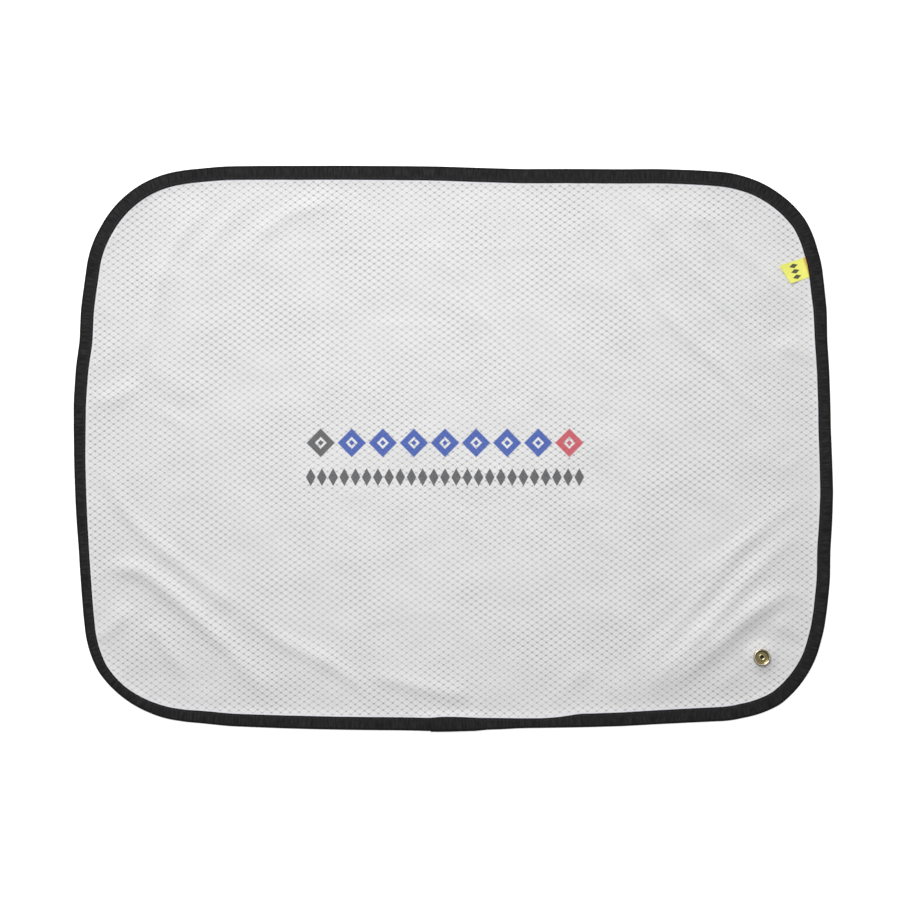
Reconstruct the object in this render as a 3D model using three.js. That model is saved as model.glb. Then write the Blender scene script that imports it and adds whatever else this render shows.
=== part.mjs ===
// Anti-static cover for a work table: one ply of white grid fabric with round corners, bound all round
// with black folded tape whose ends lap on the front edge, a ribbon tag sewn in under the tape, and a snap
// for a ground cord. Millimetres, +Z up, +X along the cover's length. It lies on z = 0 and is centred on
// the origin.
import * as THREE from 'three';

// The cover's outline, over the tape. Each bow is how far the middle of a side stands out past its corners.
const COVER_LENGTH = 610;
const COVER_WIDTH = 455;
const CORNER_RADIUS = 88;
const BOW_RIGHT = 6;
const BOW_BACK = 4;
const BOW_LEFT = 8.5;
const BOW_FRONT = 5.5;

// The fabric, which steps down from the tape to the table over a short run.
const FABRIC_THICKNESS = 0.4;
const FABRIC_SHOULDER = 0.5;
const FABRIC_STEP_RUN = 6;
const PLY_GAP = 0.05;

// The tape, folded over the fabric's edge.
const TAPE_THICKNESS = 0.5;
const BINDING_WIDTH = 9.5;
const FOLD_CLEARANCE = 0.3;
const FOLD_STEPS = 4;

// The tape's lapped ends. The outer end is cut at LAP_START, along the front edge from its middle.
const LAP_START = -18.5;
const LAP_LENGTH = 35;
const LAP_RUNOUT = 12;
const LAP_GAP = 0.1;

// The ribbon tag, at the back end of the right side. It leaves the tape a little off square.
const TAG_WIDTH = 16.4;
const TAG_LENGTH = 18.2;
const TAG_THICKNESS = 0.5;
const TAG_END_SKEW = 2.1;
const TAG_TILT = THREE.MathUtils.degToRad(7.5);
const TAG_FROM_CORNER_START = 5.4;
const TAG_CLEARANCE = 0.3;
const TAG_LIFT_MARGIN = 2;
const TAG_LIFT_RUNOUT = 6;

// The snap, on the line through the middle of the right front corner.
const SNAP_INSET = 37.7;
const SNAP_CORNER_ANGLE = THREE.MathUtils.degToRad(-42.5);
const SOCKET_RADIUS = 6.75;
const SOCKET_HEIGHT = 2.6;
const SOCKET_FLOOR = 0.5;
const WELL_RADIUS = 5.2;
const RIM_LIP = 0.1;
const RIM_BEVEL = 0.3;
const SOCKET_WAIST = 0.75;
const CAP_RADIUS = 6.3;
const CAP_HEIGHT = 1.5;
const CAP_FLAT_RADIUS = 3;
const CAP_EDGE = 0.45;
const POST_RADIUS = 1.8;
const POST_BORE_RADIUS = 1.2;
const POST_BORE_FLOOR = 0.8;
const POST_CLEARANCE = 0.25;
const ROLL_RADIUS = 2.6;
const ROLL_HEIGHT = 0.6;
const BUMP_MARGIN = 0.75;
const BUMP_RUN = 9;

// How finely curves are divided.
const STATION_SPACING = 11;
const STATION_MARGIN = 3;
const ROUND_SEGMENTS = 40;
const BUMP_RINGS = 4;

const QUARTER_TURN = Math.PI / 2;

// The front side's place among the outline's eight arcs, which are a side and a corner in turn.
const FRONT_SIDE = 6;

// Heights of the stack at the cover's edge, from the table up.
const rimHeight = TAPE_THICKNESS + PLY_GAP;
const lapRise = TAPE_THICKNESS + LAP_GAP;
const tagRise = TAG_THICKNESS + PLY_GAP;

// The fabric's edge stays inside the tape's fold, which is thickest where the tag is sewn in.
const thickestFold = (2 * TAPE_THICKNESS + FABRIC_THICKNESS + 2 * PLY_GAP + tagRise) / 2;
const fabricEdgeInset = thickestFold + FOLD_CLEARANCE;

// The outline is eight arcs, anticlockwise: each side is one wide arc, tangent to the round corners at its
// ends.
const cornerCentres = {
  right: COVER_LENGTH / 2 - BOW_RIGHT - CORNER_RADIUS,
  back: COVER_WIDTH / 2 - BOW_BACK - CORNER_RADIUS,
  left: -(COVER_LENGTH / 2 - BOW_LEFT - CORNER_RADIUS),
  front: -(COVER_WIDTH / 2 - BOW_FRONT - CORNER_RADIUS),
};

function makeOutline() {
  const { right, back, left, front } = cornerCentres;
  const sides = [
    { facing: 0, from: [right, front], to: [right, back], bow: BOW_RIGHT },
    { facing: QUARTER_TURN, from: [right, back], to: [left, back], bow: BOW_BACK },
    { facing: 2 * QUARTER_TURN, from: [left, back], to: [left, front], bow: BOW_LEFT },
    { facing: 3 * QUARTER_TURN, from: [left, front], to: [right, front], bow: BOW_FRONT },
  ];
  for (const side of sides) {
    side.start = new THREE.Vector2(...side.from);
    side.end = new THREE.Vector2(...side.to);
    const halfSpan = side.start.distanceTo(side.end) / 2;
    const drop = (halfSpan ** 2 - side.bow ** 2) / (2 * side.bow);
    const outward = new THREE.Vector2(Math.cos(side.facing), Math.sin(side.facing));
    side.centre = side.start.clone().add(side.end).multiplyScalar(0.5).addScaledVector(outward, -drop);
    side.radius = CORNER_RADIUS + side.bow + drop;
    side.halfAngle = Math.atan2(halfSpan, drop);
  }
  const arcs = [];
  sides.forEach((side, i) => {
    const next = sides[(i + 1) % sides.length];
    arcs.push({
      centre: side.centre,
      radius: side.radius,
      start: side.facing - side.halfAngle,
      sweep: 2 * side.halfAngle,
    });
    arcs.push({
      centre: side.end,
      radius: CORNER_RADIUS,
      start: side.facing + side.halfAngle,
      sweep: QUARTER_TURN - side.halfAngle - next.halfAngle,
    });
  });
  return arcs;
}

const outline = makeOutline();
const perimeter = outline.reduce((sum, arc) => sum + arc.radius * arc.sweep, 0);

// The point and outward normal at a distance along the outline, from the front end of the right side.
function outlineAt(distance) {
  let left = THREE.MathUtils.euclideanModulo(distance, perimeter);
  for (const arc of outline) {
    const length = arc.radius * arc.sweep;
    if (left <= length || arc === outline[outline.length - 1]) {
      const angle = arc.start + left / arc.radius;
      const normal = new THREE.Vector2(Math.cos(angle), Math.sin(angle));
      return { point: arc.centre.clone().addScaledVector(normal, arc.radius), normal };
    }
    left -= length;
  }
}

// The tape starts at its outer end, on the front side, and distances along it count from there.
const frontSide = outline[FRONT_SIDE];
const frontSideStart = outline.slice(0, FRONT_SIDE).reduce((sum, arc) => sum + arc.radius * arc.sweep, 0);
const tapeStart = frontSideStart + (frontSide.radius * frontSide.sweep) / 2 + LAP_START;

function tapeAt(distance) {
  return outlineAt(tapeStart + distance);
}

// 1 between low and high, falling to 0 over the runout on both sides.
function plateau(value, low, high, runout) {
  const outside = Math.max(low - value, value - high, 0);
  return Math.max(0, 1 - outside / runout);
}

// How much of the lap lies under the fabric's edge at a distance along the tape, going round once.
function lapUnder(distance) {
  const nearest = distance > perimeter / 2 ? distance - perimeter : distance;
  return plateau(nearest, 0, LAP_LENGTH, LAP_RUNOUT);
}

// The tag's middle, as a distance along the tape, and the stretch of tape that it lifts.
const cornerStart = outline[0].radius * outline[0].sweep;
const tagFromTapeStart = cornerStart + TAG_FROM_CORNER_START - tapeStart;
const tagDistance = THREE.MathUtils.euclideanModulo(tagFromTapeStart, perimeter);
const tagReach =
  TAG_WIDTH / 2 / Math.cos(TAG_TILT) + BINDING_WIDTH * Math.tan(TAG_TILT) + TAG_LIFT_MARGIN;

function tagUnder(distance) {
  return plateau(distance, tagDistance - tagReach, tagDistance + tagReach, TAG_LIFT_RUNOUT);
}

// Stations along the tape: evenly spaced, and one at each place where a rise starts or ends.
function makeStations() {
  const marks = [
    0,
    LAP_LENGTH,
    LAP_LENGTH + LAP_RUNOUT,
    tagDistance - tagReach - TAG_LIFT_RUNOUT,
    tagDistance - tagReach,
    tagDistance + tagReach,
    tagDistance + tagReach + TAG_LIFT_RUNOUT,
    perimeter - LAP_RUNOUT,
  ];
  const count = Math.round(perimeter / STATION_SPACING);
  const even = Array.from({ length: count }, (_, i) => (i * perimeter) / count);
  const clear = even.filter((place) => marks.every((mark) => Math.abs(place - mark) > STATION_MARGIN));
  return [...marks, ...clear].sort((a, b) => a - b);
}

const stations = makeStations();

function indexedSolid(positions, indices) {
  const geometry = new THREE.BufferGeometry();
  geometry.setAttribute('position', new THREE.Float32BufferAttribute(positions.flat(), 3));
  geometry.setIndex(indices);
  geometry.computeVertexNormals();
  return geometry;
}

// Triangles of the band between two rings of the same count, the first ring outside the second.
function bandBetween(outer, inner, count) {
  const triangles = [];
  for (let i = 0; i < count; i += 1) {
    const j = (i + 1) % count;
    triangles.push([outer + i, outer + j, inner + j], [outer + i, inner + j, inner + i]);
  }
  return triangles;
}

// A ply of even height, from rings of its underside. The first rings follow the edge inwards, the last ones
// go round the hole, and the stretch between them is flat.
function plySolid(edgeRings, holeRings, thickness) {
  const rings = [...edgeRings, ...holeRings];
  const starts = [];
  let total = 0;
  for (const ring of rings) {
    starts.push(total);
    total += ring.length;
  }
  const lastEdge = edgeRings.length - 1;
  const firstHole = edgeRings.length;
  const face = [];
  for (let i = 0; i < rings.length - 1; i += 1) {
    if (i !== lastEdge) face.push(...bandBetween(starts[i], starts[i + 1], rings[i].length));
  }
  const contour = rings[lastEdge].map(([x, y]) => new THREE.Vector2(x, y));
  const hole = rings[firstHole].map(([x, y]) => new THREE.Vector2(x, y)).reverse();
  const flat = [...contour, ...hole];
  const holeLast = starts[firstHole] + hole.length - 1;
  const place = (i) => (i < contour.length ? starts[lastEdge] + i : holeLast - (i - contour.length));
  for (const [a, b, c] of THREE.ShapeUtils.triangulateShape(contour, [hole])) {
    const turn = flat[b].clone().sub(flat[a]).cross(flat[c].clone().sub(flat[a]));
    face.push(turn > 0 ? [place(a), place(b), place(c)] : [place(a), place(c), place(b)]);
  }
  const low = rings.flat();
  const positions = [...low, ...low.map(([x, y, z]) => [x, y, z + thickness])];
  const indices = [];
  for (const [a, b, c] of face) {
    indices.push(a + total, b + total, c + total, a, c, b);
  }
  const edgeCount = rings[0].length;
  const holeStart = starts[starts.length - 1];
  const holeCount = rings[rings.length - 1].length;
  for (let i = 0; i < edgeCount; i += 1) {
    const j = (i + 1) % edgeCount;
    indices.push(i, j, j + total, i, j + total, i + total);
  }
  for (let i = 0; i < holeCount; i += 1) {
    const a = holeStart + i;
    const b = holeStart + ((i + 1) % holeCount);
    indices.push(a, b + total, b, a, a + total, b + total);
  }
  return indexedSolid(positions, indices);
}

// The snap's centre, on a line from the corner's centre, at its inset from the tape's fold.
const snapCentre = new THREE.Vector2(cornerCentres.right, cornerCentres.front).addScaledVector(
  new THREE.Vector2(Math.cos(SNAP_CORNER_ANGLE), Math.sin(SNAP_CORNER_ANGLE)),
  CORNER_RADIUS - SNAP_INSET,
);
const snapPlyHeight = CAP_HEIGHT + PLY_GAP;
const socketHeight = snapPlyHeight + FABRIC_THICKNESS + PLY_GAP;
const postHoleRadius = POST_RADIUS + POST_CLEARANCE;

function makeFabricPanel() {
  const edgeRing = (inset, heightAt) =>
    stations.map((distance) => {
      const { point, normal } = tapeAt(distance);
      point.addScaledVector(normal, -inset);
      return [point.x, point.y, heightAt(distance)];
    });
  const snapRing = (radius, height) =>
    Array.from({ length: ROUND_SEGMENTS }, (_, i) => {
      const angle = (i / ROUND_SEGMENTS) * 2 * Math.PI;
      return [snapCentre.x + radius * Math.cos(angle), snapCentre.y + radius * Math.sin(angle), height];
    });
  const rim = (distance) => rimHeight + lapRise * lapUnder(distance);
  const shoulderInset = BINDING_WIDTH + FABRIC_SHOULDER;
  const edgeRings = [
    edgeRing(fabricEdgeInset, rim),
    edgeRing(shoulderInset, rim),
    edgeRing(shoulderInset + FABRIC_STEP_RUN, () => 0),
  ];
  const crownRadius = Math.max(SOCKET_RADIUS, CAP_RADIUS) + BUMP_MARGIN;
  const holeRings = [];
  for (let i = 0; i <= BUMP_RINGS; i += 1) {
    const share = i / BUMP_RINGS;
    const height = (snapPlyHeight * (1 - Math.cos(Math.PI * share))) / 2;
    holeRings.push(snapRing(crownRadius + BUMP_RUN * (1 - share), height));
  }
  holeRings.push(snapRing(postHoleRadius, snapPlyHeight));
  return plySolid(edgeRings, holeRings, FABRIC_THICKNESS);
}

// The folded tape's section, as a distance inwards from the cover's outline and a height. The fold is a
// half ring.
function tapeSection(floor, upperLeg, outset) {
  const outerRadius = (upperLeg + TAPE_THICKNESS - floor) / 2;
  const innerRadius = outerRadius - TAPE_THICKNESS;
  const middle = floor + outerRadius;
  const foldCentre = outerRadius - outset;
  const arc = (radius, direction) =>
    Array.from({ length: FOLD_STEPS + 1 }, (_, i) => {
      const angle = direction * (-QUARTER_TURN + (i / FOLD_STEPS) * Math.PI);
      return [foldCentre - radius * Math.cos(angle), middle + radius * Math.sin(angle)];
    });
  return [
    [BINDING_WIDTH, floor],
    ...arc(outerRadius, 1),
    [BINDING_WIDTH, upperLeg + TAPE_THICKNESS],
    [BINDING_WIDTH, upperLeg],
    ...arc(innerRadius, -1),
    [BINDING_WIDTH, floor + TAPE_THICKNESS],
  ];
}

// One length of tape goes once round the edge. Its first stretch is the outer layer of the lap, and its
// last stretch ends under it.
function makeEdgeBinding() {
  const lapStations = stations.filter((distance) => distance <= LAP_LENGTH);
  const run = [...stations, ...lapStations.map((distance) => distance + perimeter)];
  const sections = run.map((along) => {
    const distance = along < perimeter ? along : along - perimeter;
    const over = along < perimeter / 2 ? lapUnder(distance) : 0;
    const rise = lapRise * lapUnder(distance);
    const floor = rise - lapRise * over;
    const upperLeg =
      rimHeight + rise + FABRIC_THICKNESS + PLY_GAP + lapRise * over + tagRise * tagUnder(distance);
    const { point, normal } = tapeAt(distance);
    return tapeSection(floor, upperLeg, lapRise * over).map(([inwards, height]) => [
      point.x - normal.x * inwards,
      point.y - normal.y * inwards,
      height,
    ]);
  });
  const count = sections[0].length;
  const indices = [];
  for (let s = 0; s < sections.length - 1; s += 1) {
    for (let i = 0; i < count; i += 1) {
      const j = (i + 1) % count;
      const [a, b] = [s * count + i, s * count + j];
      indices.push(a, a + count, b + count, a, b + count, b);
    }
  }
  const profile = tapeSection(0, rimHeight + FABRIC_THICKNESS, 0).map(([x, y]) => new THREE.Vector2(x, y));
  const last = (sections.length - 1) * count;
  for (const [a, b, c] of THREE.ShapeUtils.triangulateShape(profile, [])) {
    const turn = profile[b].clone().sub(profile[a]).cross(profile[c].clone().sub(profile[a]));
    const [p, q, r] = turn > 0 ? [a, b, c] : [a, c, b];
    indices.push(p, r, q, last + p, last + q, last + r);
  }
  return indexedSolid(sections.flat(), indices);
}

// The tag is a flat ribbon from under the tape to its skewed free end.
function makeLabelTag() {
  const { point, normal } = tapeAt(tagDistance);
  const halfWidth = TAG_WIDTH / 2;
  const outlineSag = halfWidth ** 2 / (2 * CORNER_RADIUS);
  const tiltSag = halfWidth * Math.sin(TAG_TILT);
  const tuckDepth = BINDING_WIDTH - fabricEdgeInset - TAG_CLEARANCE - outlineSag - tiltSag;
  const tuck = tuckDepth / Math.cos(TAG_TILT);
  const shape = new THREE.Shape([
    new THREE.Vector2(-tuck, -halfWidth),
    new THREE.Vector2(TAG_LENGTH + TAG_END_SKEW, -halfWidth),
    new THREE.Vector2(TAG_LENGTH - TAG_END_SKEW, halfWidth),
    new THREE.Vector2(-tuck, halfWidth),
  ]);
  const geometry = new THREE.ExtrudeGeometry(shape, { depth: TAG_THICKNESS, bevelEnabled: false });
  const mouth = point.clone().addScaledVector(normal, -BINDING_WIDTH);
  const inwards = Math.atan2(-normal.y, -normal.x);
  return { geometry, mouth, turn: inwards + TAG_TILT };
}

// A solid of revolution about +Z from a closed profile of radius and height.
function turnedSolid(profile) {
  const points = profile.map(([radius, height]) => new THREE.Vector2(radius, height));
  const geometry = new THREE.LatheGeometry(points, ROUND_SEGMENTS);
  geometry.rotateX(QUARTER_TURN);
  return geometry;
}

function makeSnapSocket() {
  const rimOuter = SOCKET_RADIUS - SOCKET_WAIST;
  const rimInner = WELL_RADIUS - RIM_LIP;
  return turnedSolid([
    [postHoleRadius, 0],
    [SOCKET_RADIUS - RIM_BEVEL / 2, 0],
    [SOCKET_RADIUS, RIM_BEVEL / 2],
    [SOCKET_RADIUS, SOCKET_FLOOR],
    [SOCKET_RADIUS - SOCKET_WAIST / 3, SOCKET_HEIGHT / 2],
    [rimOuter, SOCKET_HEIGHT - RIM_BEVEL],
    [rimOuter - RIM_BEVEL / 2, SOCKET_HEIGHT],
    [rimInner + RIM_BEVEL / 2, SOCKET_HEIGHT],
    [rimInner, SOCKET_HEIGHT - RIM_BEVEL],
    [WELL_RADIUS, SOCKET_HEIGHT / 2],
    [WELL_RADIUS, SOCKET_FLOOR],
    [postHoleRadius, SOCKET_FLOOR],
    [postHoleRadius, 0],
  ]);
}

function makeSnapCap() {
  const rollFloor = socketHeight + SOCKET_FLOOR + PLY_GAP;
  const rollTop = rollFloor + ROLL_HEIGHT;
  const rollMiddle = (ROLL_RADIUS + POST_BORE_RADIUS) / 2;
  return turnedSolid([
    [0, 0],
    [CAP_FLAT_RADIUS, 0],
    [(CAP_FLAT_RADIUS + CAP_RADIUS) / 2 + CAP_EDGE, (CAP_HEIGHT - CAP_EDGE) / 3],
    [CAP_RADIUS, CAP_HEIGHT - CAP_EDGE],
    [CAP_RADIUS, CAP_HEIGHT],
    [POST_RADIUS, CAP_HEIGHT],
    [POST_RADIUS, rollFloor],
    [ROLL_RADIUS, rollFloor],
    [ROLL_RADIUS, rollFloor + ROLL_HEIGHT / 2],
    [rollMiddle + ROLL_HEIGHT / 2, rollTop],
    [rollMiddle - ROLL_HEIGHT / 4, rollTop],
    [POST_BORE_RADIUS, rollTop - ROLL_HEIGHT / 2],
    [POST_BORE_RADIUS, POST_BORE_FLOOR],
    [0, POST_BORE_FLOOR],
  ]);
}

const finishes = {
  fabric: new THREE.MeshStandardMaterial({ color: 0xe2e2e0, roughness: 0.85, metalness: 0 }),
  tape: new THREE.MeshStandardMaterial({ color: 0x1d1d1f, roughness: 0.8, metalness: 0 }),
  ribbon: new THREE.MeshStandardMaterial({ color: 0xe6ea62, roughness: 0.6, metalness: 0 }),
  socket: new THREE.MeshStandardMaterial({ color: 0xb5a06a, roughness: 0.3, metalness: 1 }),
  cap: new THREE.MeshStandardMaterial({ color: 0xa9a9a6, roughness: 0.3, metalness: 1 }),
};

const cover = new THREE.Group();

function addPiece(name, geometry, finish) {
  const mesh = new THREE.Mesh(geometry, finish);
  mesh.name = name;
  cover.add(mesh);
  return mesh;
}

addPiece('fabric_panel', makeFabricPanel(), finishes.fabric);
addPiece('edge_binding', makeEdgeBinding(), finishes.tape);

const tag = makeLabelTag();
const tagMesh = addPiece('label_tag', tag.geometry, finishes.ribbon);
tagMesh.position.set(tag.mouth.x, tag.mouth.y, rimHeight + FABRIC_THICKNESS + PLY_GAP);
tagMesh.rotation.z = tag.turn;

const socketMesh = addPiece('snap_socket', makeSnapSocket(), finishes.socket);
socketMesh.position.set(snapCentre.x, snapCentre.y, socketHeight);

const capMesh = addPiece('snap_cap', makeSnapCap(), finishes.cap);
capMesh.position.set(snapCentre.x, snapCentre.y, 0);

// The lap stands a little past the outline, so the whole is centred again.
const extent = new THREE.Box3().setFromObject(cover);
cover.position.set(-(extent.min.x + extent.max.x) / 2, -(extent.min.y + extent.max.y) / 2, 0);

export default cover;
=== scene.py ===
import logging
import math
from collections.abc import Sequence
from dataclasses import dataclass, field
from enum import Enum

import bpy
import numpy as np
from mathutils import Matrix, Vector
from mathutils.geometry import delaunay_2d_cdt


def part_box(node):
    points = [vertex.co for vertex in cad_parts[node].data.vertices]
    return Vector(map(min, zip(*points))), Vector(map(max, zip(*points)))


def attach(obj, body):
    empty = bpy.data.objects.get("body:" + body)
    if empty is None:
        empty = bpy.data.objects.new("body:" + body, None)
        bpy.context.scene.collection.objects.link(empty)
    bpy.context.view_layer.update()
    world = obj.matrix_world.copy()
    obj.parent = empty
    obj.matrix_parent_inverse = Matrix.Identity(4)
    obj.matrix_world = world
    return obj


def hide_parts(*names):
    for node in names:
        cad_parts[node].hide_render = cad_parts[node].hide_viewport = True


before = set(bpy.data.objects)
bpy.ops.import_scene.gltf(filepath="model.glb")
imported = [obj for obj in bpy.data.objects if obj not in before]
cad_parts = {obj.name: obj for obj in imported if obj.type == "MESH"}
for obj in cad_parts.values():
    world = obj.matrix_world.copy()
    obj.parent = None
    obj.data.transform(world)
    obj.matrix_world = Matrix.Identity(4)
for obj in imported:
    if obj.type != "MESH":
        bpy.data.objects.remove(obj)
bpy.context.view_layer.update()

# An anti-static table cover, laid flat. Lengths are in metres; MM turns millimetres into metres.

MM = 0.001
BODY = "root"
LOG = logging.getLogger("table_cover")

Colour = tuple[float, float, float]
Pairs = tuple[tuple[float, float], ...]
Rings = tuple[tuple[float, Colour], ...]
Socket = bpy.types.NodeSocket


def smooth(value: np.ndarray, start: float | np.ndarray, end: float | np.ndarray) -> np.ndarray:
    """Rise from 0 at start to 1 at end, level at both.

    Args:
        value: Where to read the rise.
        start: The value up to which it is 0.
        end: The value from which it is 1.

    Returns:
        The rise at each value.
    """
    part = np.clip((value - start) / (end - start), 0.0, 1.0)
    return part * part * (3.0 - 2.0 * part)


def ring_average(values: np.ndarray, reach: int) -> np.ndarray:
    """Average each value of a closed ring with its neighbours.

    Args:
        values: The ring's values in order.
        reach: How many neighbours count on each side.

    Returns:
        As many values, smoothed.
    """
    window = np.hanning(2 * reach + 3)[1:-1]
    wrapped = np.concatenate([values[-reach:], values, values[:reach]])
    return np.convolve(wrapped, window / window.sum(), mode="valid")


def ring_normals(ring: np.ndarray) -> np.ndarray:
    """Find the outward normals of an anticlockwise ring.

    Args:
        ring: The ring's points, as rows of x and y.

    Returns:
        One unit vector for each point.
    """
    along = np.roll(ring, -1, axis=0) - np.roll(ring, 1, axis=0)
    outward = np.column_stack([along[:, 1], -along[:, 0]])
    return outward / np.linalg.norm(outward, axis=1)[:, None]


def curve_through(points: Sequence[tuple[float, float]], steps: int = 5) -> np.ndarray:
    """Draw a smooth line through a few points.

    Args:
        points: The points that it goes through.
        steps: How many pieces each stretch between two points has.

    Returns:
        The line's points, as rows of x and y.
    """
    knots = np.array([points[0], *points, points[-1]], float)
    line = []
    for before, start, end, after in zip(knots, knots[1:], knots[2:], knots[3:]):
        for share in np.arange(steps) / steps:
            square = (2 * before - 5 * start + 4 * end - after) * share**2
            cube = (3 * start - before - 3 * end + after) * share**3
            line.append(start + 0.5 * ((end - before) * share + square + cube))
    return np.array([*line, knots[-1]])


def select_only(piece: bpy.types.Object) -> None:
    """Select one object and make it the active one.

    Args:
        piece: The object.
    """
    bpy.ops.object.select_all(action="DESELECT")
    piece.select_set(True)
    bpy.context.view_layer.objects.active = piece


def new_piece(name: str, corners: np.ndarray, faces: Sequence[Sequence[int]]) -> bpy.types.Object:
    """Make an object from corners and faces.

    Args:
        name: The object's name.
        corners: Rows of x, y and z.
        faces: Each face's corners, by their row.

    Returns:
        The object, in the scene.
    """
    mesh = bpy.data.meshes.new(name)
    mesh.from_pydata(corners.tolist(), [], faces)
    mesh.update()
    piece = bpy.data.objects.new(name, mesh)
    bpy.context.scene.collection.objects.link(piece)
    return piece


def lay_uv(piece: bpy.types.Object, name: str, flat: np.ndarray) -> None:
    """Give a piece a UV map, in metres along the flat material.

    Args:
        piece: The piece.
        name: The map's name.
        flat: The flat place of each of the piece's vertices.
    """
    layer = piece.data.uv_layers.new(name=name)
    vertex = np.empty(len(piece.data.loops), dtype=np.int32)
    piece.data.loops.foreach_get("vertex_index", vertex)
    layer.data.foreach_set("uv", flat[vertex].astype(np.float32).ravel())


def face_out(piece: bpy.types.Object) -> None:
    """Turn all faces of a closed piece outwards.

    Args:
        piece: The piece.
    """
    select_only(piece)
    bpy.ops.object.mode_set(mode="EDIT")
    bpy.ops.mesh.select_all(action="SELECT")
    bpy.ops.mesh.normals_make_consistent(inside=False)
    bpy.ops.object.mode_set(mode="OBJECT")


def smooth_faces(piece: bpy.types.Object, sharp: float) -> None:
    """Shade a piece smooth, apart from its sharp edges.

    Args:
        piece: The piece.
        sharp: The angle from which an edge is sharp, in degrees.
    """
    select_only(piece)
    bpy.ops.object.shade_smooth_by_angle(angle=math.radians(sharp))


def thicken(piece: bpy.types.Object, thickness: float, other_finish: int) -> None:
    """Give a face-up sheet its thickness, downwards.

    Args:
        piece: The sheet.
        thickness: Its thickness.
        other_finish: How far the underside's material is from the face's in the piece's list.
    """
    select_only(piece)
    wall = piece.modifiers.new("thickness", "SOLIDIFY")
    wall.thickness = thickness
    wall.offset = -1.0
    wall.material_offset = other_finish
    bpy.ops.object.modifier_apply(modifier=wall.name)


def hand_over(piece: bpy.types.Object, slot: str, *nodes: str) -> None:
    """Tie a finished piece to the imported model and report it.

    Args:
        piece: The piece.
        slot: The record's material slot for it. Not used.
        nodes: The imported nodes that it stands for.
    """
    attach(piece, BODY)
    if nodes:
        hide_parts(*nodes)
    LOG.info("%s: %d faces, stands for %s", piece.name, len(piece.data.polygons), nodes or "no node")


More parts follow.
